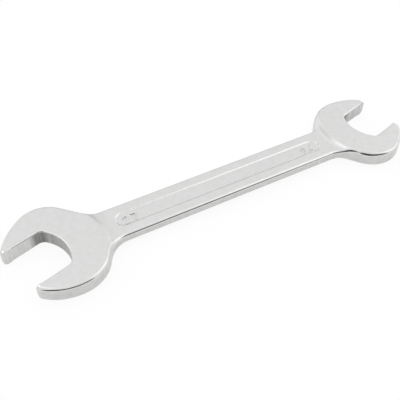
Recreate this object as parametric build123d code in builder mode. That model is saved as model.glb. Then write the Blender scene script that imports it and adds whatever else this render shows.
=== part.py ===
from build123d import *
from dataclasses import dataclass
from math import acos, atan2, cos, degrees, radians, sin, sqrt
import os

# A double open end wrench, 27 mm and 24 mm across the flats, in millimetres and degrees.
# The real one is a single drop forging. It is laid out whole, and parted across the shank into its
# two heads and the handle between them. X runs along the shank from the large head to the small one,
# Z is up, and the origin lies on the rest plane under the middle of the outline.

# Jaws
large_flats = 27.0  # opening of the large jaw, across its two flats
small_flats = 24.0  # opening of the small jaw
jaw_angle = 15.0  # both openings are turned this far from the shank, the same way round

# Sections
head_thickness = 9.3
shank_thickness = 6.0
shank_width = 21.3
edge_width = 1.15  # the forging's outer edges are taken off at 45 degrees, this far down and in

# Nut centres, from the middle of the shank: outwards along it, and to the side the jaw is turned to
large_nut_out = 107.4
large_nut_side = 5.1
small_nut_out = 105.0
small_nut_side = 2.7

# Throats, behind the nut's centre: where the flats end, the deepest point, and the corner's radius
large_flat_end = 11.4
large_throat = 16.2
large_throat_corner = 4.3
small_flat_end = 10.0
small_throat = 14.4
small_throat_corner = 2.9

# Outer edge of each head, one set of sizes a side. Inside is the side that the jaw is turned to.
# Back and across place the centre of the cheek's curve from the nut's centre: behind it, and to
# that side of it. The prong's flatter curve takes over at prong_start, an angle from the opening,
# and the round of the tip runs into a straight nose, tip_nose long, which ends at the milled flat.
# A straight flank, at an angle to the shank, joins the cheek to the neck.
large_inside_back = 13.6
large_inside_across = 6.5
large_inside_radius = 21.5
large_inside_prong_start = 80.0
large_inside_prong_radius = 30.0
large_inside_tip_nose = 1.2
large_inside_tip = 2.8
large_inside_flank = 60.8
large_inside_neck = 14.8
large_outside_back = 13.4
large_outside_across = 12.1
large_outside_radius = 16.8
large_outside_prong_start = 72.7
large_outside_prong_radius = 44.2
large_outside_tip_nose = 1.4
large_outside_tip = 3.0
large_outside_flank = 44.3
large_outside_neck = 13.2
small_inside_back = 12.3
small_inside_across = 3.4
small_inside_radius = 23.1
small_inside_prong_start = 72.9
small_inside_prong_radius = 38.5
small_inside_tip_nose = 2.0
small_inside_tip = 3.6
small_inside_flank = 51.0
small_inside_neck = 4.2
small_outside_back = 11.5
small_outside_across = 7.6
small_outside_radius = 18.4
small_outside_prong_start = 64.3
small_outside_prong_radius = 45.5
small_outside_tip_nose = 2.0
small_outside_tip = 3.6
small_outside_flank = 56.4
small_outside_neck = 15.8

# Ramps from the heads down to the shank, round the nut's centre
large_crest = 35.5  # radius at which the flat of the head ends
small_crest = 30.1
crest_round = 3.0
foot_round = 8.0

# Recessed panel on both faces of the shank
panel_width = 9.6
panel_depth = 0.35
panel_draft = 60.0  # the panel's wall, measured from upright
large_panel_gap = 2.6  # plain shank between the ramp's foot and the panel's end
small_panel_gap = 4.0
parting_gap = 0.4  # the heads are parted off the shank this far past the panel's round ends


@dataclass
class Cheek:
    """One side of a head, from the tip of its prong round the cheek and down the neck to the shank"""

    back: float
    across: float
    radius: float
    prong_start: float
    prong_radius: float
    tip_nose: float
    tip: float
    flank: float
    neck: float


large_inside = Cheek(
    large_inside_back, large_inside_across, large_inside_radius,
    large_inside_prong_start, large_inside_prong_radius, large_inside_tip_nose, large_inside_tip,
    large_inside_flank, large_inside_neck)
large_outside = Cheek(
    large_outside_back, large_outside_across, large_outside_radius,
    large_outside_prong_start, large_outside_prong_radius, large_outside_tip_nose, large_outside_tip,
    large_outside_flank, large_outside_neck)
small_inside = Cheek(
    small_inside_back, small_inside_across, small_inside_radius,
    small_inside_prong_start, small_inside_prong_radius, small_inside_tip_nose, small_inside_tip,
    small_inside_flank, small_inside_neck)
small_outside = Cheek(
    small_outside_back, small_outside_across, small_outside_radius,
    small_outside_prong_start, small_outside_prong_radius, small_outside_tip_nose, small_outside_tip,
    small_outside_flank, small_outside_neck)


@dataclass
class Head:
    """A head in its own frame, where the shank runs to it along +X"""

    turn: float  # half a turn carries the large head to its own end of the shank
    flats: float
    nut: Vector
    flat_end: float
    throat: float
    throat_corner: float
    crest: float
    inside: Cheek
    outside: Cheek


large = Head(180, large_flats, Vector(large_nut_out, large_nut_side), large_flat_end, large_throat,
             large_throat_corner, large_crest, large_inside, large_outside)
small = Head(0, small_flats, Vector(small_nut_out, small_nut_side), small_flat_end, small_throat,
             small_throat_corner, small_crest, small_inside, small_outside)

# The ramp is an arc over the crest and one into the foot, tangent to each other and to both levels
step = (head_thickness - shank_thickness) / 2
ramp_slope = degrees(acos(1 - step / (crest_round + foot_round)))
ramp_run = (crest_round + foot_round) * sin(radians(ramp_slope))
large_panel_end = large_nut_out - large_crest - ramp_run - large_panel_gap
small_panel_end = small_nut_out - small_crest - ramp_run - small_panel_gap
large_parting = large_panel_end - panel_width / 2 - parting_gap
small_parting = small_panel_end - panel_width / 2 - parting_gap


def heading(angle):
    """Unit vector at an angle from +X"""
    return Vector(cos(radians(angle)), sin(radians(angle)))


def arc(centre, radius, start, sweep, turn):
    """Arc given in a head's own frame"""
    CenterArc(centre.rotate(Axis.Z, turn), radius, start + turn, sweep)


def line(start, end, turn):
    """Line given in a head's own frame"""
    Line(start.rotate(Axis.Z, turn), end.rotate(Axis.Z, turn))


def draw_cheek(head, cheek, side):
    """Outer edge of a head on one side, from the milled flat round the prong and cheek to the shank"""
    along, across = heading(jaw_angle), heading(jaw_angle + 90) * side
    bend = jaw_angle + side * cheek.prong_start
    flank_normal = side * (90 + cheek.flank)
    cheek_centre = head.nut - along * cheek.back + across * cheek.across
    prong_centre = cheek_centre - heading(bend) * (cheek.prong_radius - cheek.radius)
    # The tip's circle lies inside the prong's curve, and its nose is square to the milled flat
    rise = head.flats / 2 + cheek.tip_nose
    lift = rise - (prong_centre - head.nut).dot(across)
    reach = (prong_centre - head.nut).dot(along) + sqrt((cheek.prong_radius - cheek.tip) ** 2 - lift**2)
    tip_centre = head.nut + along * reach + across * rise
    to_tip = tip_centre - prong_centre
    tip_angle = degrees(atan2(to_tip.Y, to_tip.X))
    nose = tip_centre + along * cheek.tip
    tip_corner = nose - across * cheek.tip_nose
    line(tip_corner, nose, head.turn)
    arc(tip_centre, cheek.tip, tip_angle, jaw_angle - tip_angle, head.turn)
    arc(prong_centre, cheek.prong_radius, tip_angle, bend - tip_angle, head.turn)
    arc(cheek_centre, cheek.radius, bend, flank_normal - bend, head.turn)
    # The neck's arc ends on the shank's edge, and grows no larger than the flank's height leaves room for
    flank_top = cheek_centre + heading(flank_normal) * cheek.radius
    height = abs(flank_top.Y) - shank_width / 2
    bulge = 1 - cos(radians(cheek.flank))
    neck_radius = min(cheek.neck, 0.98 * height / bulge)
    flank_length = (height - neck_radius * bulge) / sin(radians(cheek.flank))
    flank_foot = flank_top + heading(flank_normal + side * 90) * flank_length
    neck_centre = flank_foot + heading(flank_normal) * neck_radius
    line(flank_top, flank_foot, head.turn)
    arc(neck_centre, neck_radius, flank_normal + 180, -side * cheek.flank, head.turn)
    return tip_corner, neck_centre - Vector(0, side * neck_radius)


def draw_throat(head):
    """Closed end of a jaw: a shallow arc between two corners. Returns the inner ends of both flats."""
    half = head.flats / 2
    sag = head.throat - head.flat_end
    radius = (half**2 + sag**2) / (2 * sag)
    back = radius - head.throat
    corner_rise = half - head.throat_corner
    corner_back = back - sqrt((radius - head.throat_corner) ** 2 - corner_rise**2)
    along, across = heading(jaw_angle), heading(jaw_angle + 90)
    sweep = degrees(atan2(corner_rise, back - corner_back))
    arc(head.nut + along * back, radius, jaw_angle + 180 - sweep, 2 * sweep, head.turn)
    ends = []
    for side in (1, -1):
        centre = head.nut + along * corner_back + across * (side * corner_rise)
        arc(centre, head.throat_corner, jaw_angle + side * 90, side * (90 - sweep), head.turn)
        ends.append(centre + across * (side * head.throat_corner))
    return ends


def draw_head(head):
    """Outline of a head with its jaw. Returns where its two necks meet the shank's edges."""
    flat_ends = draw_throat(head)
    necks = []
    for cheek, side, flat_end in ((head.inside, 1, flat_ends[0]), (head.outside, -1, flat_ends[1])):
        tip_corner, neck = draw_cheek(head, cheek, side)
        line(flat_end, tip_corner, head.turn)
        necks.append(neck)
    return necks


# Outline of the whole forging with its jaws milled, seen from above
with BuildSketch() as outline:
    with BuildLine():
        large_necks = draw_head(large)
        small_necks = draw_head(small)
        for large_neck, small_neck in zip(large_necks, reversed(small_necks)):
            Line(large_neck.rotate(Axis.Z, large.turn), small_neck)
    make_face()

# The part's origin lies under the middle of that outline
middle = outline.sketch.bounding_box().center()
centre_plane = Plane(origin=(-middle.X, -middle.Y, head_thickness / 2))
upper_face = centre_plane.offset(shank_thickness / 2)
shank_bottom = centre_plane.origin - Vector(0, 0, shank_thickness / 2)
lower_face = Plane(origin=shank_bottom, x_dir=(1, 0, 0), z_dir=(0, 0, -1))


def parting_plane(out):
    """Plane across the shank at a distance from its middle, facing the small head"""
    return Plane(origin=centre_plane.from_local_coords(Vector(out, 0)), z_dir=(1, 0, 0))


def jaw_plane(head):
    """Level plane with its origin on a nut's axis and its X out of the jaw"""
    nut = centre_plane.from_local_coords(head.nut.rotate(Axis.Z, head.turn))
    return Plane(origin=nut, x_dir=heading(jaw_angle + head.turn), z_dir=(0, 0, 1))


def in_jaw(edge, head):
    """True for an edge of the milled opening, whose middle is no further out than flats and throat"""
    place = jaw_plane(head).to_local_coords(edge @ 0.5)
    hair = head.flats / 1000
    return abs(place.Y) < head.flats / 2 + hair and place.X > -head.throat - hair


def rim_edges(solid):
    """Edges where the outer walls meet the faces above and below. The milled jaws stay crisp."""
    upright = solid.faces().filter_by(lambda face: abs(face.normal_at().Z) < 1e-6)
    walls = upright.filter_by(Plane.YZ, reverse=True)
    level_edges = walls.edges().filter_by(Axis.Z, reverse=True)
    return level_edges.filter_by(lambda edge: not in_jaw(edge, large) and not in_jaw(edge, small))


def nut_plane(head):
    """Upright plane through a nut's axis"""
    nut = centre_plane.from_local_coords(head.nut.rotate(Axis.Z, head.turn))
    return Plane(origin=nut, x_dir=(1, 0, 0), z_dir=(0, -1, 0))


def draw_ramp(head):
    """Half section of a head from its nut's axis outwards: the flat, the ramp and the level of the shank"""
    top = head_thickness / 2
    level = shank_thickness / 2
    foot = head.crest + ramp_run
    outside = 2 * head.nut.X
    Polyline((0, 0), (0, top), (head.crest, top))
    CenterArc((head.crest, top - crest_round), crest_round, 90, -ramp_slope)
    CenterArc((foot, level + foot_round), foot_round, 270 - ramp_slope, ramp_slope)
    Polyline((foot, level), (outside, level), (outside, 0))


with BuildPart() as panel_recess:
    with BuildSketch(upper_face, lower_face):
        with Locations(((small_panel_end - large_panel_end) / 2, 0)):
            SlotOverall(large_panel_end + small_panel_end, panel_width)
    extrude(amount=-panel_depth, taper=panel_draft)

with BuildPart() as large_head:
    with BuildSketch(centre_plane):
        add(outline.sketch)
    extrude(amount=head_thickness / 2, both=True)
    with BuildSketch(nut_plane(large)):
        with BuildLine():
            draw_ramp(large)
            mirror(about=Plane.XZ)
        make_face()
    revolve(axis=Axis(nut_plane(large).origin, (0, 0, 1)), mode=Mode.INTERSECT)
    add(panel_recess.part, mode=Mode.SUBTRACT)
    split(bisect_by=parting_plane(-large_parting), keep=Keep.BOTTOM)
    chamfer(rim_edges(large_head), edge_width)

with BuildPart() as shank:
    with BuildSketch(centre_plane):
        add(outline.sketch)
    extrude(amount=shank_thickness / 2, both=True)
    add(panel_recess.part, mode=Mode.SUBTRACT)
    split(bisect_by=parting_plane(-large_parting), keep=Keep.TOP)
    split(bisect_by=parting_plane(small_parting), keep=Keep.BOTTOM)
    chamfer(rim_edges(shank), edge_width)

with BuildPart() as small_head:
    with BuildSketch(centre_plane):
        add(outline.sketch)
    extrude(amount=head_thickness / 2, both=True)
    with BuildSketch(nut_plane(small)):
        with BuildLine():
            draw_ramp(small)
            mirror(about=Plane.XZ)
        make_face()
    revolve(axis=Axis(nut_plane(small).origin, (0, 0, 1)), mode=Mode.INTERSECT)
    add(panel_recess.part, mode=Mode.SUBTRACT)
    split(bisect_by=parting_plane(small_parting), keep=Keep.TOP)
    chamfer(rim_edges(small_head), edge_width)

large_head.part.label = "large_head"
shank.part.label = "shank"
small_head.part.label = "small_head"

os.makedirs("parts", exist_ok=True)
export_step(large_head.part, "parts/large_head.step")
export_step(shank.part, "parts/shank.step")
export_step(small_head.part, "parts/small_head.step")
for piece in (large_head, shank, small_head):
    solid = piece.part
    state = "valid" if solid.is_valid else "broken"
    print(solid.label, state, f"{solid.volume:.1f} mm3", solid.bounding_box())
for head in (large, small):
    centre = nut_plane(head).origin
    print(f"nut centre of the {head.flats:g} mm jaw: {centre.X:.4f} {centre.Y:.4f} {centre.Z:.4f}")
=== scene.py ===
# %% [markdown]
# # An open end wrench in satin chrome
# The object is one drop forging of alloy steel: a flat shank with a forged head at each end. The jaws
# are milled to 27 mm and 24 mm, and the whole wrench is then polished, fine blasted and chrome plated.
# The solids come in finished, but with the forging's soft edges as plain bevels. Bare metal is drawn by
# what its edges reflect, so this lesson makes the forging again as one smooth skin, with rounded
# edges, a soft recess and raised figures, and then gives the metal a room to reflect.

# %% Load the solids
from math import cos, inf, pi, radians, sin

import bpy
import numpy as np
from mathutils import Matrix, Vector
from mathutils.geometry import delaunay_2d_cdt
from mathutils.kdtree import KDTree


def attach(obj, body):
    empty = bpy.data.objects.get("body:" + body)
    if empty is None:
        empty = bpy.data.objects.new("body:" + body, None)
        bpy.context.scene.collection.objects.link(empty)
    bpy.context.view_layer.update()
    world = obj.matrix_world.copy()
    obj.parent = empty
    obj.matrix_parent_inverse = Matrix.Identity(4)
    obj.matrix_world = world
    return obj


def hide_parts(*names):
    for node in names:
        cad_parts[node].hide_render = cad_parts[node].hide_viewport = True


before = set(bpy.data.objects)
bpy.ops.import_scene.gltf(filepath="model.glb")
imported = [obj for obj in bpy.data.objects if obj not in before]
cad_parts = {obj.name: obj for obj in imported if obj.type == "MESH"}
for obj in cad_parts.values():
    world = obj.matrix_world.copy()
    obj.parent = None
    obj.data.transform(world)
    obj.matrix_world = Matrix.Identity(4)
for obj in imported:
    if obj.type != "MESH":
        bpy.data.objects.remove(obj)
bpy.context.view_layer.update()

MM = 0.001

# %% [markdown]
# ## Sizes
# The skin is drawn in plan first, in millimetres from the middle of the shank, and each point of the
# plan is one complex number: adding moves it, and multiplying by e^(i angle) turns it. The sizes are
# the solids' own, apart from the edges, which the solids have as bevels, and the large head's softer
# ramp. Each head is drawn with its shank running off to the left, and half a turn carries the large
# one to its own end.
#
# A head's nut is the place of its nut's axis, and its crest the distance from there at which the ramp
# down to the shank begins. Behind the nut, flat_end and throat say how far the jaw's flats and its
# throat reach. Soft widens the two arcs of the ramp, and shade is the least painted shade in the jaw.
#
# Each side of a head has its own arcs. Back and across place the centre of the cheek's arc from the
# nut, prong_start is the angle off the jaw's axis at which the prong's arc takes over, and flank is
# the angle between the shank and the straight flank that runs in to the neck.

# %% Sizes in millimetres, with prong_start and flank in degrees
JAW_ANGLE = radians(15.0)
HEAD_HALF, SHANK_HALF = 9.3 / 2, 6.0 / 2
SHANK_WIDTH = 21.3
EDGE_ROUND, TIP_ROUND, JAW_EDGE = 1.7, 2.4, 0.7
CREST_ROUND, FOOT_ROUND = 3.0, 8.0
PANEL_WIDTH, PANEL_DEPTH, PANEL_WALL = 9.6, 0.35, 0.95
PARTING_INSET = 0.4

CHEEK = ("back", "across", "radius", "prong_start", "prong_radius", "nose", "tip", "flank", "neck")
LARGE = {
    "turn": pi, "flats": 27.0, "nut": 107.4 + 5.1j, "crest": 35.5, "panel_gap": 2.6,
    "flat_end": 11.4, "throat": 16.2, "corner": 4.3, "soft": 1.8, "shade": 0.05,
    1: dict(zip(CHEEK, (13.6, 6.5, 21.5, 80.0, 30.0, 1.2, 2.8, 60.8, 14.8))),
    -1: dict(zip(CHEEK, (13.4, 12.1, 16.8, 72.7, 44.2, 1.4, 3.0, 44.3, 13.2))),
}
SMALL = {
    "turn": 0.0, "flats": 24.0, "nut": 105.0 + 2.7j, "crest": 30.1, "panel_gap": 4.0,
    "flat_end": 10.0, "throat": 14.4, "corner": 2.9, "soft": 1.0, "shade": 0.3,
    1: dict(zip(CHEEK, (12.3, 3.4, 23.1, 72.9, 38.5, 2.0, 3.6, 51.0, 4.2))),
    -1: dict(zip(CHEEK, (11.5, 7.6, 18.4, 64.3, 45.5, 2.0, 3.6, 56.4, 15.8))),
}
HEADS = (SMALL, LARGE)


# %% The ramps, and where the recess and the partings lie
def ramp_slope(soft):
    """Steepest slope, the angle whose cosine is 1 less the step in height over both arcs' radii"""
    return np.arccos(1 - (HEAD_HALF - SHANK_HALF) / (soft * (CREST_ROUND + FOOT_ROUND)))


def ramp_run(soft):
    """Length of a ramp in plan: both arcs' radii times the sine of that slope"""
    return soft * (CREST_ROUND + FOOT_ROUND) * np.sin(ramp_slope(soft))


RAMP_RUN = ramp_run(1.0)
for head in HEADS:
    # a softer ramp keeps its middle, and so grows by this much to each side
    head["spread"] = (ramp_run(head["soft"]) - RAMP_RUN) / 2
    slope = np.degrees(ramp_slope(head["soft"]))
    print("ramp:", round(RAMP_RUN + 2 * head["spread"], 2), "mm long, up to", round(slope, 1), "degrees")

# how far the recess runs towards each head, and the parting planes just short of its round ends
PANEL_ENDS = [head["nut"].real - head["crest"] - RAMP_RUN - head["panel_gap"] for head in HEADS]
to_small, to_large = [end - PANEL_WIDTH / 2 - PARTING_INSET for end in PANEL_ENDS]
PARTINGS = (to_small, -to_large)

# in plan the frame's origin is the middle of the whole wrench, and the solid shank shows its own
shank_box = np.array(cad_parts["shank"].bound_box) / MM
SHANK_MIDDLE = complex(*(shank_box.min(axis=0) + shank_box.max(axis=0))[:2] / 2) - sum(PARTINGS) / 2
print("partings:", np.round(PARTINGS, 2), "mm, and the shank's middle:", np.round(SHANK_MIDDLE, 3), "mm")

# %% [markdown]
# ## Plan of the forging
# A forged head is drawn by a toolmaker as a chain of tangent arcs: nose, tip, prong, cheek, flank and
# neck. Each arc is centre + radius e^(i angle), over evenly spaced angles. The milled jaw is two
# parallel flats joined by a shallow throat with a round corner on each side. The two kinds of edge
# are kept apart, because the forged one is rounded much more than the milled one.

# %% Arcs and straight runs as arrays of points
def arc(centre, radius, start, end, pitch=0.3):
    """Points on a circle, centre + radius e^(i angle), at most a pitch apart"""
    angle = np.linspace(start, end, int(abs(end - start) * radius / pitch) + 3)
    return centre + radius * np.exp(1j * angle)


def straight(start, end, pitch=0.3):
    """Points on a line, start + (end - start) t, at most a pitch apart"""
    return start + (end - start) * np.linspace(0, 1, int(abs(end - start) / pitch) + 3)


def chain(*runs):
    """Runs joined end to end, without the point that each shares with the one before"""
    return np.concatenate([runs[0]] + [run[1:] for run in runs[1:]])


# %% Outer edge of one head
def outer_edge(head, side):
    """
    From the corner at the milled flat to the neck's end: nose, tip, prong, cheek, flank and neck.
    Where two arcs touch, their centres lie as far apart as the sum or the difference of their radii.
    """
    cheek, nut = head[side], head["nut"]
    along = np.exp(1j * JAW_ANGLE)
    across = 1j * along * side
    bend = JAW_ANGLE + side * radians(cheek["prong_start"])
    flank = radians(cheek["flank"])
    flank_normal = side * (pi / 2 + flank)
    cheek_centre = nut - along * cheek["back"] + across * cheek["across"]
    prong_centre = cheek_centre - np.exp(1j * bend) * (cheek["prong_radius"] - cheek["radius"])
    to_prong = (prong_centre - nut) / along
    rise = head["flats"] / 2 + cheek["nose"]
    lift = rise - to_prong.imag * side
    reach = to_prong.real + np.sqrt((cheek["prong_radius"] - cheek["tip"]) ** 2 - lift ** 2)
    tip_centre = nut + along * reach + across * rise
    tip_angle = np.angle(tip_centre - prong_centre)
    nose = tip_centre + along * cheek["tip"]
    flank_top = cheek_centre + np.exp(1j * flank_normal) * cheek["radius"]
    height = abs(flank_top.imag) - SHANK_WIDTH / 2
    flank_length = (height - cheek["neck"] * (1 - np.cos(flank))) / np.sin(flank)
    flank_foot = flank_top + np.exp(1j * (flank_normal + side * pi / 2)) * flank_length
    neck_centre = flank_foot + np.exp(1j * flank_normal) * cheek["neck"]
    return chain(
        straight(nose - across * cheek["nose"], nose),
        arc(tip_centre, cheek["tip"], JAW_ANGLE, tip_angle),
        arc(prong_centre, cheek["prong_radius"], tip_angle, bend),
        arc(cheek_centre, cheek["radius"], bend, flank_normal),
        straight(flank_top, flank_foot),
        arc(neck_centre, cheek["neck"], flank_normal + pi, flank_normal + pi - side * flank))


# %% Jaw of one head
def jaw_edge(head, corners):
    """
    From one tip's corner along its flat, round the throat and out along the other flat.
    The throat's radius follows from half its width and its sag, as (half^2 + sag^2) / (2 sag).
    """
    half, depth, corner, nut = head["flats"] / 2, head["throat"], head["corner"], head["nut"]
    sag = depth - head["flat_end"]
    radius = (half ** 2 + sag ** 2) / (2 * sag)
    back = radius - depth
    corner_back = back - np.sqrt((radius - corner) ** 2 - (half - corner) ** 2)
    sweep = np.arctan2(half - corner, back - corner_back)
    along = np.exp(1j * JAW_ANGLE)
    low = nut + along * (corner_back - 1j * (half - corner))
    high = nut + along * (corner_back + 1j * (half - corner))
    return chain(
        straight(corners[0], low - 1j * along * corner),
        arc(low, corner, JAW_ANGLE - pi / 2, JAW_ANGLE - pi + sweep),
        arc(nut + along * back, radius, JAW_ANGLE - pi + sweep, JAW_ANGLE - pi - sweep),
        arc(high, corner, JAW_ANGLE - pi - sweep, JAW_ANGLE - 3 * pi / 2),
        straight(high + 1j * along * corner, corners[1]))


# %% The closed plan, anticlockwise: a forged rim, the small jaw, the other rim and the large jaw
SHANK_PITCH = 0.8
halves, jaws = [], []
for head in HEADS:
    turn = np.exp(1j * head["turn"])
    low, high = outer_edge(head, -1), outer_edge(head, 1)
    # the milled jaw starts where the rounding of the tips ends
    set_back = TIP_ROUND * np.exp(1j * JAW_ANGLE)
    jaws.append(jaw_edge(head, (low[0] - set_back, high[0] - set_back)) * turn)
    halves += [low[::-1] * turn, high * turn]

rims, at_parting = [], []
for start, end in ((3, 0), (1, 2)):
    # the shank's edge runs from one neck to the other, with a point on each parting plane
    neck, edge_y = halves[start][-1], 1j * halves[start][-1].imag
    near, far = sorted(PARTINGS, key=lambda x: abs(x - neck.real))
    rim = chain(halves[start],
                straight(neck, near + edge_y, SHANK_PITCH),
                straight(near + edge_y, far + edge_y, SHANK_PITCH),
                straight(far + edge_y, halves[end][0], SHANK_PITCH),
                halves[end])
    rims.append(rim)
    at_parting.append([int(np.argmin(abs(rim - x - edge_y))) for x in PARTINGS])
plan = np.concatenate([rims[0], jaws[0], rims[1], jaws[1]])
print("plan:", len(plan), "points,", round(float(abs(np.diff(plan, append=plan[0])).sum())), "mm round")

# %% [markdown]
# ## Height of the upper face
# Seen from the side the forging is flat on the heads, ramps down to the shank on an arc over the crest
# and one into the foot, and has a shallow recess along the shank. So the height is a function of the
# plan: the ramp depends on the distance from the nut's axis, and the recess on the distance from a
# slot with round ends. A smooth step, t t (3 - 2 t), softens the recess's wall as a worn die does.

# %% Height functions
def smooth_step(value, start, end):
    """0 up to the start, 1 from the end on, and t t (3 - 2 t) between, where t is the share gone"""
    t = np.clip((value - start) / (end - start), 0, 1)
    return t * t * (3 - 2 * t)


def past_crest(points, head):
    """Distance from the nut's axis, less the crest's distance from it"""
    return abs(points - head["nut"] * np.exp(1j * head["turn"])) - head["crest"]


def ramp(points, head):
    """Flat to the crest, then r - sqrt(r^2 - out^2) down over the crest, and a wider arc into the foot"""
    crest, foot = head["soft"] * CREST_ROUND, head["soft"] * FOOT_ROUND
    out = past_crest(points, head) + head["spread"]
    left = np.clip(ramp_run(head["soft"]) - out, 0, foot)
    over = HEAD_HALF - crest + np.sqrt(crest ** 2 - np.clip(out, 0, crest) ** 2)
    into = SHANK_HALF + foot - np.sqrt(foot ** 2 - left ** 2)
    return np.where(out < crest * np.sin(ramp_slope(head["soft"])), over, into)


def outside_panel(points):
    """Distance from the recess's edge, negative inside: a slot is all within half its width of a line"""
    middle, half_line = (PANEL_ENDS[0] - PANEL_ENDS[1]) / 2, (sum(PANEL_ENDS) - PANEL_WIDTH) / 2
    past_end = np.maximum(abs(points.real - middle) - half_line, 0)
    return np.hypot(past_end, points.imag) - PANEL_WIDTH / 2


def face_height(points):
    """The higher of the two ramps, less the recess, before the edges are rounded"""
    height = np.maximum(*[ramp(points, head) for head in HEADS])
    return height - PANEL_DEPTH * smooth_step(outside_panel(points), 0, -PANEL_WALL)


in_recess, on_shank, on_head = face_height(np.array([0j, 9j, HEADS[0]["nut"]])).round(2)
print("half thickness: recess", in_recess, "mm, shank", on_shank, "mm, head", on_head, "mm")

# %% [markdown]
# ## Raised figures
# The jaw's size stands up from the recess, because a letter cut into a forging die comes out raised.
# The figures are plain numbers. Each is a pen stroke along a centre line, and a point's height falls
# away with its distance from that line, which gives a flat top and soft sides.

# %% Centre lines of the figures, in a box one unit high
TWO_BOW = 0.30 + 0.72j + 0.27 * np.exp(1j * np.radians(np.linspace(165, -35, 12)))
TWO = np.concatenate([TWO_BOW, [0.02 + 0j, 0.60 + 0j]])
SEVEN = np.array([0.02 + 1j, 0.60 + 1j, 0.22 + 0j])
FOUR = np.array([0.46 + 0j, 0.46 + 1j, 0.0 + 0.32j, 0.64 + 0.32j])
FIGURE_WIDTH, FIGURE_STEP = 0.6, 1.0

# %% Size and place of the figures in the recess
FIGURE_HEIGHT, FIGURE_RISE = 5.0, 0.5
FIGURE_PLACES = (-55.4 - 1.3j, 56.4 - 1.4j)
STROKE_TOP, STROKE_FOOT = 0.3, 0.6


def figures(centre, left, right):
    """Centre lines of two figures side by side: centre + height (shape - the middle of the pair)"""
    middle = (FIGURE_STEP + FIGURE_WIDTH) / 2 + 0.5j
    return [centre + FIGURE_HEIGHT * (shape - middle) for shape in (left, right + FIGURE_STEP)]


def stroke_distance(points, strokes):
    """Shortest distance from each point to any of the strokes' straight pieces"""
    nearest = np.full(points.shape, inf)
    for stroke in strokes:
        for start, end in zip(stroke[:-1], stroke[1:]):
            t = np.clip(((points - start) / (end - start)).real, 0, 1)
            nearest = np.minimum(nearest, abs(points - start - t * (end - start)))
    return nearest


def relief(points):
    """Height that the figures add: full within STROKE_TOP of a stroke, and gone at STROKE_FOOT"""
    return FIGURE_RISE * smooth_step(stroke_distance(points, STROKES), STROKE_FOOT, STROKE_TOP)


STROKES = figures(FIGURE_PLACES[0], TWO, SEVEN) + figures(FIGURE_PLACES[1], TWO, FOUR)
print("figures:", len(STROKES), "centre lines")

# %% [markdown]
# ## The skin
# Along the rim the skin is a profile carried along a path. The profile is a quarter circle: an angle
# a gives a point EDGE_ROUND (1 - cos a) in from the wall and EDGE_ROUND (1 - sin a) below the top.
# The tips get a larger one, and the milled jaw a smaller one that dies out at the tips. Inside these
# strips the face is a cloud of points joined by Delaunay triangles, denser where the height changes
# fast. The lower face mirrors the upper one, without the figures, and walls join the two.

# %% Strips along the edges, as rows of plan points and their heights
TIP_FADE, JAW_FADE = 12, 4
RIM_ROWS, JAW_ROWS = 10, 4


def inward(points):
    """Unit normals on the left of a run, i times its tangent, by central differences"""
    tangent = np.gradient(points)
    return 1j * tangent / abs(tangent)


def strip(points, radius, rows):
    """A quarter circle of that radius carried along the points, from the wall in to the flat"""
    angle = np.linspace(0, pi / 2, rows)[:, None]
    plan_rows = points + inward(points) * radius * (1 - np.cos(angle))
    return plan_rows, face_height(plan_rows) - radius * (1 - np.sin(angle))


def from_ends(run):
    """Distance of each point of a run from the nearer of its ends"""
    return np.minimum(abs(run - run[0]), abs(run - run[-1]))


def rim_radius(rim):
    """TIP_ROUND at the tips, which the wheel has rounded more, and EDGE_ROUND from TIP_FADE on"""
    return TIP_ROUND + (EDGE_ROUND - TIP_ROUND) * smooth_step(from_ends(rim), 0, TIP_FADE)


def jaw_radius(jaw):
    """Zero where the forged rim's strip ends, and JAW_EDGE from JAW_FADE on"""
    return JAW_EDGE * smooth_step(from_ends(jaw), 0, JAW_FADE)


rim_strips = [strip(rim, rim_radius(rim), RIM_ROWS) for rim in rims]
jaw_strips = [strip(jaw, jaw_radius(jaw), JAW_ROWS) for jaw in jaws]
strips = rim_strips + jaw_strips
print("strips:", sum(rows.size for rows, height in strips), "points")

# %% Ways of laying points inside the strips
RING_BEFORE, RING_AFTER, RING_PITCH, RING_POINTS = 1.7, 1.9, 0.35, 150
SLOT_PITCH = 0.9


def crop(points, keep):
    """The points for which keep is true, as one run"""
    return points.ravel()[keep.ravel()]


def lattice(low, high, pitch):
    """Points of a grid between two corners"""
    x, y = np.meshgrid(np.arange(low.real, high.real, pitch), np.arange(low.imag, high.imag, pitch))
    return x + 1j * y


def ramp_rings(head):
    """Points on circles about the nut's axis, across the ramp, on the shank's side of the head"""
    distance = np.arange(head["crest"] - RING_BEFORE, head["crest"] + RAMP_RUN + RING_AFTER, RING_PITCH)
    angle = np.linspace(pi / 2, 3 * pi / 2, RING_POINTS)
    return (head["nut"] + distance[:, None] * np.exp(1j * angle)) * np.exp(1j * head["turn"])


def slot_rows(depths):
    """Runs round the recess at those depths inside its edge: two straight sides and two round ends"""
    left, right = PANEL_WIDTH / 2 - PANEL_ENDS[1], PANEL_ENDS[0] - PANEL_WIDTH / 2
    rows = []
    for depth in depths:
        radius = PANEL_WIDTH / 2 - depth
        rows.append(chain(
            straight(left - 1j * radius, right - 1j * radius, SLOT_PITCH),
            arc(right, radius, -pi / 2, pi / 2),
            straight(right + 1j * radius, left + 1j * radius, SLOT_PITCH),
            arc(left, radius, pi / 2, 3 * pi / 2)))
    return np.concatenate(rows)


# %% The cloud of points: coarse on the flats, finer on the ramps, at the recess's wall and on the figures
PLAN_CORNER, COARSE_PITCH = 125 + 35j, 2.2
FIGURE_CORNER, FINE_PITCH, FINE_REACH = 4.9 + 3.6j, 0.11, 0.8
RAMP_CLEAR, WALL_CLEAR, FIGURE_CLEAR = 2.5, 1.2, 1.6
WALL_MARGIN, WALL_ROWS = 0.15, 9

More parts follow.
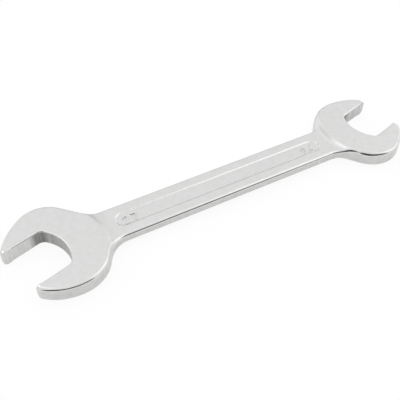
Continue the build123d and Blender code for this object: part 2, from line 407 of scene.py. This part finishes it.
coarse = lattice(-PLAN_CORNER, PLAN_CORNER, COARSE_PITCH)
taken = abs(outside_panel(coarse) + PANEL_WALL / 2) <= WALL_CLEAR
taken |= stroke_distance(coarse, STROKES) <= FIGURE_CLEAR
for head in HEADS:
    out = past_crest(coarse, head)
    taken |= (-RAMP_CLEAR < out) & (out < RAMP_RUN + RAMP_CLEAR)
coarse = crop(coarse, ~taken)

fine = [lattice(place - FIGURE_CORNER, place + FIGURE_CORNER, FINE_PITCH).ravel() for place in FIGURE_PLACES]
fine = np.concatenate(fine)
fine = crop(fine, stroke_distance(fine, STROKES) < FINE_REACH)

wall_depths = np.linspace(-WALL_MARGIN, PANEL_WALL + WALL_MARGIN, WALL_ROWS)
rings = [ramp_rings(head).ravel() for head in HEADS]
cloud = np.concatenate([coarse, fine, slot_rows(wall_depths), *rings])

# %% Points along the two partings: on the recess's floor, its walls and the land beside it
floor_points, land_points = np.arange(0, 3.6, 1.2), (6.6, 7.8)
cross_section = np.unique(np.concatenate([PANEL_WIDTH / 2 - wall_depths, floor_points, land_points]))
cross_section = np.concatenate([-cross_section[:0:-1], cross_section])
parting_lines = [x + 1j * cross_section for x in PARTINGS]
print("cloud:", len(cloud), "points, and", len(cross_section), "along each parting")

# %% The face's border and its two partings, with the points too close to them left out
BORDER_CLEAR = 0.12


def clear_of(points, others, gap):
    """Keeps the points that are further than the gap from all the others"""
    tree = KDTree(len(others))
    for k, other in enumerate(others):
        tree.insert((other.real, other.imag, 0), k)
    tree.balance()
    nearest = np.array([tree.find((point.real, point.imag, 0))[2] for point in points])
    return points[nearest > gap]


rim_inner = [rows[-1] for rows, height in rim_strips]
jaw_inner = [rows[-1] for rows, height in jaw_strips]
border = np.concatenate([rim_inner[0], jaw_inner[0][1:-1], rim_inner[1], jaw_inner[1][1:-1]])
fences = []
for line, first, last in zip(parting_lines, *at_parting):
    fences.append(np.concatenate([[rim_inner[0][first]], line, [rim_inner[1][last]]]))
cloud = clear_of(cloud, np.concatenate([border, *parting_lines]), BORDER_CLEAR)

# %% Triangles of one face: a Delaunay triangulation that keeps the border and the partings as edges
CONVEX_HULL, SAME_POINT = 0, 1e-6
corners = np.concatenate([border, fences[0], fences[1], cloud])
edges = []
for start, fence in zip((len(border), len(border) + len(fences[0])), fences):
    edges += [(k, k + 1) for k in range(start, start + len(fence) - 1)]
made = delaunay_2d_cdt([Vector((point.real, point.imag)) for point in corners], edges,
                       [list(range(len(border)))], CONVEX_HULL, SAME_POINT, True)

# a point or face that was made lists what it comes from, and a face outside the border comes from none
made_faces, point_sources, face_sources = made[2], made[3], made[5]
inner_points = corners[[sources[0] for sources in point_sources]]
inside = np.array([len(sources) > 0 for sources in face_sources])
inner_faces = np.array(made_faces)[inside]
one, two, three = inner_points[inner_faces].T
clockwise = ((two - one).conjugate() * (three - one)).imag < 0
inner_faces[clockwise] = inner_faces[clockwise][:, ::-1]
print("face:", len(inner_points), "points,", len(inner_faces), "triangles")

# %% [markdown]
# The patches share the points where they meet, so they are welded into one closed surface. A point's
# normal is the sum of its triangles' cross products, which weighs each triangle by its area, so a
# large flat face stays flat right up to the rounding beside it.

# %% The patches: strips, walls and faces, each as points, triangles and a finish
FORGED, MILLED = 0, 1


def grid_triangles(rows, columns):
    """Two triangles for each cell of a grid whose corners are numbered row by row"""
    corner = np.arange(rows * columns).reshape(rows, columns)
    a, b, c, d = corner[:-1, :-1], corner[:-1, 1:], corner[1:, 1:], corner[1:, :-1]
    return np.concatenate([np.stack([a, b, c], -1).reshape(-1, 3), np.stack([a, c, d], -1).reshape(-1, 3)])


def in_space(points, height):
    """Plan points and heights as rows of x, y, z"""
    return np.stack([points.real, points.imag, height], -1).reshape(-1, 3)


patches = []
for rows, height in strips:
    patches.append((in_space(rows, height), grid_triangles(*rows.shape), FORGED))
    patches.append((in_space(rows, -height), grid_triangles(*rows.shape)[:, ::-1], FORGED))
for (rows, height), finish in zip(strips, (FORGED, FORGED, MILLED, MILLED)):
    # the wall below a strip's first row
    wall, side = np.stack([rows[0], rows[0]]), np.stack([-height[0], height[0]])
    patches.append((in_space(wall, side), grid_triangles(*wall.shape), finish))
for rows, height in rim_strips:
    # the flat ends of the rounding, where the milled jaw cuts the forged tip
    for end, turned in ((0, -1), (-1, 1)):
        wall, side = np.stack([rows[:, end]] * 2), np.stack([-height[:, end], height[:, end]])
        patches.append((in_space(wall, side), grid_triangles(*wall.shape)[:, ::turned], MILLED))
top = face_height(inner_points)
patches.append((in_space(inner_points, top + relief(inner_points)), inner_faces, FORGED))
patches.append((in_space(inner_points, -top), inner_faces[:, ::-1], FORGED))
print("patches:", len(patches))

# %% All patches welded into one closed surface
WELD_DIGITS, LEAST_LENGTH = 6, 1e-12
starts = np.cumsum([0] + [len(patch[0]) for patch in patches])
loose = np.concatenate([patch[0] for patch in patches])
points, weld = np.unique(np.round(loose, WELD_DIGITS), axis=0, return_inverse=True)
triangles = weld.ravel()[np.concatenate([patch[1] + start for patch, start in zip(patches, starts)])]
finishes = np.concatenate([np.full(len(patch[1]), patch[2]) for patch in patches])

# a triangle that the weld has closed up, with two corners in one point, goes
a, b, c = triangles.T
whole = (a != b) & (b != c) & (c != a)
triangles, finishes = triangles[whole], finishes[whole]
one, two, three = points[triangles].transpose(1, 0, 2)
cross = np.cross(two - one, three - one)
normals = np.zeros_like(points)
for corner in range(3):
    np.add.at(normals, triangles[:, corner], cross)
# the least length is for the points that no triangle uses, which have no normal
normals /= np.maximum(np.linalg.norm(normals, axis=1), LEAST_LENGTH)[:, None]

sides = np.concatenate([triangles[:, [0, 1]], triangles[:, [1, 2]], triangles[:, [2, 0]]])
uses = np.unique(np.sort(sides, axis=1), axis=0, return_counts=True)[1]
print("skin:", len(points), "points,", len(triangles), "triangles")
print("edges without a triangle on both sides:", int((uses != 2).sum()))

# %% [markdown]
# Three attributes of the skin steer its finish and its painted shade. Two come from how far the normal
# stands up: the wheel has passed over the faces and their edges more than the sides, and the blast has
# made the level faces matt. The first of these also paints a shade on the sides, whose tone is a little
# darker. The third comes from the place in a jaw, whose corners and throat see more of the jaw itself
# and less of the room: it paints shade there, a darker tone than the plate alone would have.

# %% Attributes of the skin
CORNER_DARK, CORNER_FADE = 1.5, 8.0
THROAT_SHADE, THROAT_FADE = 0.62, 2.0
SIDE_UP, FACE_UP = 0.02, 0.35
SLOPE_UP, LEVEL_UP = cos(radians(20)), cos(radians(5))


def crevice_shade(place):
    """Painted shade: 1 in a jaw's corners, a smooth step down to the head's shade, and THROAT_SHADE in the
    throat
    """
    shade = np.zeros(len(place))
    for head in HEADS:
        # a point as seen along the jaw from its nut: real is forwards, imaginary is across
        jaw = (place[:, 0] + 1j * place[:, 1]) / np.exp(1j * head["turn"]) - head["nut"]
        jaw = jaw / np.exp(1j * JAW_ANGLE)
        from_corner = np.hypot(jaw.real + head["flat_end"], abs(jaw.imag) - head["flats"] / 2)
        in_corner = smooth_step(from_corner, CORNER_FADE, CORNER_DARK)
        in_throat = THROAT_SHADE * smooth_step(-jaw.real - head["flat_end"], 0, THROAT_FADE)
        here = np.maximum(head["shade"], np.maximum(in_corner, in_throat))
        shade = np.where(abs(jaw) < head["flats"], np.maximum(shade, here), shade)
    return shade


def polish_and_side_shade(upward):
    """1 where the skin faces up or down, 0 on the sides, which get more blur and a painted shade: a smooth
    step over the normal's height
    """
    return smooth_step(abs(upward), SIDE_UP, FACE_UP)


def matt(upward):
    """1 on the level faces and 0 where they slope by 20 degrees: a smooth step over the same height"""
    return smooth_step(abs(upward), SLOPE_UP, LEVEL_UP)


# %% [markdown]
# The skin is cut at the planes that part the heads from the shank, so each named solid keeps its own
# piece. Every piece is closed by a fan of triangles across its cut. Both sides of a cut keep the
# whole skin's normals there, so nothing shows on the metal where two pieces meet.

# %% Three closed pieces, one for each solid
ON_CUT = 1e-5


def ring_of(skin_points, cut, facing):
    """The skin's points on a cut, by their angle round the x axis, in the way that makes a fan face out"""
    ring = skin_points[abs(points[skin_points, 0] - cut) < ON_CUT]
    return ring[np.argsort(facing * np.arctan2(points[ring, 2], points[ring, 1]))]


def piece_of(name, low, high):
    """The skin between two planes across x, with a fan over each cut and the skin's own normals"""
    middle = points[triangles].mean(axis=1)[:, 0]
    chosen = (middle > low) & (middle < high)
    mine = triangles[chosen]
    skin_points = np.unique(mine)
    own, shading = [points], [normals[mine]]
    for cut, facing in ((low, -1.0), (high, 1.0)):
        if np.isfinite(cut):
            ring = ring_of(skin_points, cut, facing)
            centre = np.full(len(ring), sum(len(part) for part in own))
            own.append([[cut, 0.0, 0.0]])
            mine = np.concatenate([mine, np.stack([centre, ring, np.roll(ring, -1)], -1)])
            shading.append(np.tile([facing, 0.0, 0.0], (len(ring), 3, 1)))

    used, numbered = np.unique(mine, return_inverse=True)
    place = np.concatenate(own)[used]
    in_frame = place + [SHANK_MIDDLE.real, SHANK_MIDDLE.imag, HEAD_HALF]
    mesh = bpy.data.meshes.new(name + "_skin")
    mesh.from_pydata(in_frame * MM, [], numbered.reshape(-1, 3).tolist())
    finish = np.append(finishes[chosen], np.full(len(mine) - chosen.sum(), FORGED))
    mesh.polygons.foreach_set("material_index", finish)
    upward = np.append(normals[:, 2], np.zeros(len(own) - 1))[used]
    attributes = {"crevice_shade": crevice_shade(place), "polish_and_side_shade": polish_and_side_shade(upward), "matt": matt(upward)}
    for attribute, values in attributes.items():
        layer = mesh.attributes.new(attribute, "FLOAT", "POINT")
        layer.data.foreach_set("value", values.astype(np.float32))
    mesh.shade_smooth()
    mesh.normals_split_custom_set(np.concatenate(shading).reshape(-1, 3).tolist())

    piece = bpy.data.objects.new(mesh.name, mesh)
    bpy.context.scene.collection.objects.link(piece)
    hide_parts(name)
    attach(piece, "root")
    print(piece.name, len(mesh.polygons), "triangles")
    return piece


cuts = (-inf, min(PARTINGS), max(PARTINGS), inf)
solid_names = ("large_head", "shank", "small_head")
forging = [piece_of(name, low, high) for name, low, high in zip(solid_names, cuts[:-1], cuts[1:])]

# %% [markdown]
# ## Satin chrome
# Chrome is a thin hard plate, a fraction of a micrometre thick over nickel, so it copies the surface
# below it. This wrench was blasted with fine grit before plating: each pit tips the surface a few
# degrees, which blurs every reflection into an even pale grey. The level faces took the blast head on
# and are the most matt, while the ramps and rounded edges, which a wheel has rubbed, are glossier and
# draw the room's lights and dark openings as thin lines. Pits of 0.05 mm are too fine for the picture,
# so they are drawn 0.7 mm apart. A slower swell, some 9 mm long, is what polishing leaves of the
# forging's scale.

# %% Colour, node and scale helpers
def linear(hex_colour):
    """sRGB hex colour to linear: (c + 0.055) / 1.055 to the power 2.4, or c / 12.92 near black"""
    srgb = np.array([int(hex_colour[i:i + 2], 16) for i in (1, 3, 5)]) / 255
    rgb = np.where(srgb <= 0.04045, srgb / 12.92, ((srgb + 0.055) / 1.055) ** 2.4)
    return (*rgb, 1.0)


def add_node(tree, kind, settings=(), links=()):
    """
    Adds a node. Settings are attributes, or inputs' values by name or number, and links are inputs.
    A colour Mix node's two colours are its inputs 6 and 7, and its result is output 2.
    """
    node = tree.nodes.new(kind)
    for name, value in dict(settings).items():
        if isinstance(name, str) and hasattr(node, name):
            setattr(node, name, value)
        else:
            node.inputs[name].default_value = value
    for name, source in dict(links).items():
        tree.links.new(source, node.inputs[name])
    return node


def new_material(name):
    """A material with an empty node tree, and that tree"""
    material = bpy.data.materials.new(name)
    material.use_nodes = True
    material.node_tree.nodes.clear()
    return material, material.node_tree


def per_mm(size_mm):
    """Scale of a pattern in metres whose features repeat about every size_mm: 1 over that size"""
    return 1 / (size_mm * MM)


# %% Satin chrome plate
MOTTLE_SIZE = 3.0
# what bumps the plate: a size and a height in mm, and how many finer octaves it has
SWELL, PITS = (9.0, 0.04, 1.0), (0.7, 0.012, 2.0)
SIDE_ROUGHNESS, EDGE_ROUGHNESS, LEVEL_ROUGHNESS = 0.24, 0.14, 0.5


def satin_chrome():
    """Chrome over blasted steel: even pale grey and matt on the level faces, glossier on the edges, and a
    painted shade that darkens the sides a little
    """
    material, tree = new_material("satin chrome plate")
    place = add_node(tree, "ShaderNodeTexCoord").outputs["Object"]
    polish_and_side_shade_fac = add_node(tree, "ShaderNodeAttribute", {"attribute_name": "polish_and_side_shade"}).outputs["Fac"]
    level = add_node(tree, "ShaderNodeAttribute", {"attribute_name": "matt"}).outputs["Fac"]

    # the tone is a little cloudy, and a painted shade makes it a little darker on the sides
    mottle = add_node(tree, "ShaderNodeTexNoise", {
        "Scale": per_mm(MOTTLE_SIZE), "Detail": 3.0, "Roughness": 0.6}, {"Vector": place})
    cloudy = add_node(tree, "ShaderNodeMapRange", {
        "From Min": 0.3, "From Max": 0.7}, {"Value": mottle.outputs["Fac"]}).outputs["Result"]
    side_shade_tone = add_node(tree, "ShaderNodeMix", {
        "data_type": "RGBA", 6: linear("#c8c8c7"), 7: linear("#d6d6d5")}, {"Factor": cloudy})
    face_tone = add_node(tree, "ShaderNodeMix", {
        "data_type": "RGBA", 6: linear("#d5d5d4"), 7: linear("#dbdbdb")}, {"Factor": cloudy})
    tone = add_node(tree, "ShaderNodeMix", {"data_type": "RGBA"}, {
        "Factor": polish_and_side_shade_fac, 6: side_shade_tone.outputs[2], 7: face_tone.outputs[2]})

    # the blur goes from the sides to the edges by the same attribute that paints the side shade, and from
    # there to the level faces by matt
    edges = add_node(tree, "ShaderNodeMapRange", {
        "To Min": SIDE_ROUGHNESS, "To Max": EDGE_ROUGHNESS}, {"Value": polish_and_side_shade_fac})
    blur = add_node(tree, "ShaderNodeMapRange", {"To Max": LEVEL_ROUGHNESS}, {
        "Value": level, "To Min": edges.outputs["Result"]})

    # each bump is laid over the one before
    below = {}
    for size, height, detail in (SWELL, PITS):
        noise = add_node(tree, "ShaderNodeTexNoise", {
            "Scale": per_mm(size), "Detail": detail}, {"Vector": place})
        bump = add_node(tree, "ShaderNodeBump", {"Distance": height * MM}, {
            "Height": noise.outputs["Fac"], **below})
        below = {"Normal": bump.outputs["Normal"]}
    metal = add_node(tree, "ShaderNodeBsdfPrincipled", {"Metallic": 1.0}, {
        "Base Color": tone.outputs[2], "Roughness": blur.outputs["Result"], **below})
    add_node(tree, "ShaderNodeOutputMaterial", {}, {"Surface": metal.outputs["BSDF"]})
    print(material.name, "has", len(tree.nodes), "nodes")
    return material


# %% [markdown]
# ## Milled jaws
# The jaws are milled after forging. The cutter's teeth leave fine upright lines across the thickness,
# and the polishing wheel doesn't reach in, so the plate there is duller. A darker tone is mixed in as
# painted shade: full in the corners, less in the throat and least over the rest of the jaw, by the
# attribute for the place in the jaw. The lines are noise that is stretched twenty times along the
# thickness, which is done by shrinking that coordinate. Real lines are some 0.1 mm apart, too fine for
# the picture, so they are drawn 0.9 mm apart.

# %% Milled chrome plate
LINE_PITCH, LINE_HEIGHT, LINE_STRETCH = 0.9, 0.02, 20


def milled_chrome():
    """Chrome over milled steel: dull, with upright lines in its tone and its bump, and a painted shade in the
    jaw's corners and throat
    """
    material, tree = new_material("milled chrome plate")
    place = add_node(tree, "ShaderNodeTexCoord").outputs["Object"]
    crevice_shade_here = add_node(tree, "ShaderNodeAttribute", {"attribute_name": "crevice_shade"}).outputs["Fac"]
    drawn = add_node(tree, "ShaderNodeMapping", {"Scale": (1.0, 1.0, 1 / LINE_STRETCH)}, {"Vector": place})
    lines = add_node(tree, "ShaderNodeTexNoise", {
        "Scale": per_mm(LINE_PITCH), "Detail": 3.0, "Roughness": 0.7},
        {"Vector": drawn.outputs["Vector"]}).outputs["Fac"]
    spread = add_node(tree, "ShaderNodeMapRange", {
        "From Min": 0.32, "From Max": 0.68}, {"Value": lines}).outputs["Result"]
    flat_tone = add_node(tree, "ShaderNodeMix", {
        "data_type": "RGBA", 6: linear("#cdcdcc"), 7: linear("#dfdfde")}, {"Factor": spread})
    # painted shade: the darker tone that the corners and the throat take
    corner_shade_tone = add_node(tree, "ShaderNodeMix", {
        "data_type": "RGBA", 6: linear("#6a6a6a"), 7: linear("#9e9e9d")}, {"Factor": spread})
    tone = add_node(tree, "ShaderNodeMix", {"data_type": "RGBA"}, {
        "Factor": crevice_shade_here, 6: flat_tone.outputs[2], 7: corner_shade_tone.outputs[2]})
    bump = add_node(tree, "ShaderNodeBump", {"Distance": LINE_HEIGHT * MM}, {"Height": lines})
    metal = add_node(tree, "ShaderNodeBsdfPrincipled", {"Metallic": 1.0, "Roughness": 0.3}, {
        "Base Color": tone.outputs[2], "Normal": bump.outputs["Normal"]})
    add_node(tree, "ShaderNodeOutputMaterial", {}, {"Surface": metal.outputs["BSDF"]})
    print(material.name, "has", len(tree.nodes), "nodes")
    return material


# %% The finishes on their pieces, in the order of FORGED and MILLED
chrome, milled = satin_chrome(), milled_chrome()
for piece in forging:
    piece.data.materials.append(chrome)
    piece.data.materials.append(milled)
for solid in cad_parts.values():
    solid.data.materials.clear()
    solid.data.materials.append(chrome)
print("finished:", [piece.name for piece in forging])

# %% [markdown]
# ## Floor
# A plain white board. The camera sees it as nearly plain white, and the metal's reflections see it as
# rather more than half plain white, while the light that falls on the rest of it still makes the soft
# shadow below the wrench.

# %% White floor
CAMERA_LIFT, MIRROR_LIFT = 0.9, 0.55
HALF_FLOOR, FLOOR_DROP = 3000 * MM, 0.02 * MM


def white_board():
    """Diffuse white, mixed with plain white by CAMERA_LIFT for the camera and MIRROR_LIFT for the metal"""
    material, tree = new_material("white board")
    rays = add_node(tree, "ShaderNodeLightPath").outputs
    mirrored = add_node(tree, "ShaderNodeMath", {"operation": "MAXIMUM"}, {
        0: rays["Is Glossy Ray"], 1: rays["Is Transmission Ray"]})
    in_metal = add_node(tree, "ShaderNodeMapRange", {"To Max": MIRROR_LIFT}, {
        "Value": mirrored.outputs["Value"]})
    lift = add_node(tree, "ShaderNodeMapRange", {"To Max": CAMERA_LIFT}, {
        "Value": rays["Is Camera Ray"], "To Min": in_metal.outputs["Result"]})
    paper = add_node(tree, "ShaderNodeBsdfDiffuse", {"Color": linear("#fcfcfc")})
    plain = add_node(tree, "ShaderNodeEmission", {"Color": linear("#ffffff"), "Strength": 1.0})
    board = add_node(tree, "ShaderNodeMixShader", {}, {
        "Fac": lift.outputs["Result"], 1: paper.outputs["BSDF"], 2: plain.outputs["Emission"]})
    add_node(tree, "ShaderNodeOutputMaterial", {}, {"Surface": board.outputs["Shader"]})
    return material


floor_mesh = bpy.data.meshes.new("floor")
quarters = ((-1, -1), (1, -1), (1, 1), (-1, 1))
floor_corners = [(x * HALF_FLOOR, y * HALF_FLOOR, -FLOOR_DROP) for x, y in quarters]
floor_mesh.from_pydata(floor_corners, [], [(0, 1, 2, 3)])
floor_mesh.materials.append(white_board())
floor = bpy.data.objects.new("floor", floor_mesh)
bpy.context.scene.collection.objects.link(floor)
print("floor:", 2 * HALF_FLOOR, "m wide")

# %% [markdown]
# ## Light
# Chrome shows its room, so the room is built first and the metal needs little else. A product like
# this is photographed in a white tent under a large overhead softbox, through an opening at the front
# where the camera stands. The softbox puts a bright line on every edge that leans forwards, and the
# dark opening draws a thin grey line just below it. Smaller lamps and a bright wall behind the wrench
# light the ramps and the far edge of the large jaw's throat.
#
# Here all of them are soft spots on the sky: brightness follows the angle between a direction and the
# spot's middle. Each spot is laid over the ones before it. The camera itself sees plain white behind
# the floor, and only the wrench and the floor see the tent.

# %% A soft spot on the sky
def toward(azimuth, elevation):
    """Unit vector, the azimuth turning from the front, -Y, to the right, +X"""
    azimuth, elevation = radians(azimuth), radians(elevation)
    return sin(azimuth) * cos(elevation), -cos(azimuth) * cos(elevation), sin(elevation)


def sky_spot(tree, direction, middle, inner, outer):
    """1 within the inner angle of the middle, a smooth fall to 0 at the outer one, by their cosines"""
    nearness = add_node(tree, "ShaderNodeVectorMath", {"operation": "DOT_PRODUCT", 1: middle}, {0: direction})
    spot = add_node(tree, "ShaderNodeMapRange", {
        "interpolation_type": "SMOOTHSTEP", "From Min": cos(radians(outer)), "From Max": cos(radians(inner))},
        {"Value": nearness.outputs["Value"]})
    return spot.outputs["Result"]


# %% The white tent as a world
SPOTS = {
    # name: azimuth and elevation of its middle, inner and outer angle, brightness
    "back wall": (-155, 50, 12, 45, 1.14),
    "softbox": (78, 46, 12, 34, 1.42),
    "low softbox": (112, 18, 10, 25, 1.16),
    "top lamp": (-112, 70, 8, 18, 1.35),
    "dim corner": (-162, 50, 3, 16, 0.93),
    "jaw lamp": (-131, 43, 5, 14, 1.9),
    "dim back": (157, 2, 12, 30, 0.75),
    "opening, left": (-34, 15, 17, 28, 0.05),
    "opening, middle": (-4, 15, 17, 28, 0.1),
    "opening, right": (14, 16, 12, 26, 0.15),
}
WHITE = linear("#ffffff")
world = bpy.data.worlds.new("white tent")
bpy.context.scene.world = world
world.use_nodes = True
sky = world.node_tree
sky.nodes.clear()
direction = add_node(sky, "ShaderNodeTexCoord").outputs["Generated"]
room = {}
for name, (azimuth, elevation, inner, outer, brightness) in SPOTS.items():
    spot = sky_spot(sky, direction, toward(azimuth, elevation), inner, outer)
    tone = (brightness, brightness, brightness, 1)
    blend = add_node(sky, "ShaderNodeMix", {
        "data_type": "RGBA", "label": name, 6: WHITE, 7: tone}, {"Factor": spot, **room})
    room = {6: blend.outputs[2]}
rays = add_node(sky, "ShaderNodeLightPath").outputs
seen = add_node(sky, "ShaderNodeMix", {"data_type": "RGBA", 7: WHITE}, {
    "Factor": rays["Is Camera Ray"], **room})
light = add_node(sky, "ShaderNodeBackground", {"Strength": 1.0}, {"Color": seen.outputs[2]})
add_node(sky, "ShaderNodeOutputWorld", {}, {"Surface": light.outputs["Background"]})
print("sky:", len(SPOTS), "spots")

# %% [markdown]
# ## Camera
# The camera looks down at 47 degrees from the left of the front, with a lens a little longer than
# normal and hardly any roll. It stands only a third of a metre away, which makes the near head larger.

# %% Camera
TARGET = Vector((-13.93, -3.33, 4.65)) * MM
AZIMUTH, ELEVATION, ROLL = -30.26, 47.49, radians(1.86)
DISTANCE = 344.49 * MM
SENSOR_WIDTH, FOCAL_LENGTH = 36, 57.585

back = Vector(toward(AZIMUTH, ELEVATION))
level_right = Vector(toward(AZIMUTH + 90, 0))
level_up = back.cross(level_right)
right = level_right * cos(ROLL) + level_up * sin(ROLL)
up = level_up * cos(ROLL) - level_right * sin(ROLL)
lens = bpy.data.cameras.new("camera")
lens.sensor_width = SENSOR_WIDTH
lens.lens = FOCAL_LENGTH
lens.clip_start = 10 * MM
camera = bpy.data.objects.new("camera", lens)
bpy.context.scene.collection.objects.link(camera)
turned = Matrix((right, up, back)).transposed().to_4x4()
camera.matrix_world = Matrix.Translation(TARGET + back * DISTANCE) @ turned
bpy.context.scene.camera = camera
print("camera:", [round(side / MM) for side in camera.matrix_world.translation], "mm")

bpy.context.scene.view_settings.view_transform = "Standard"
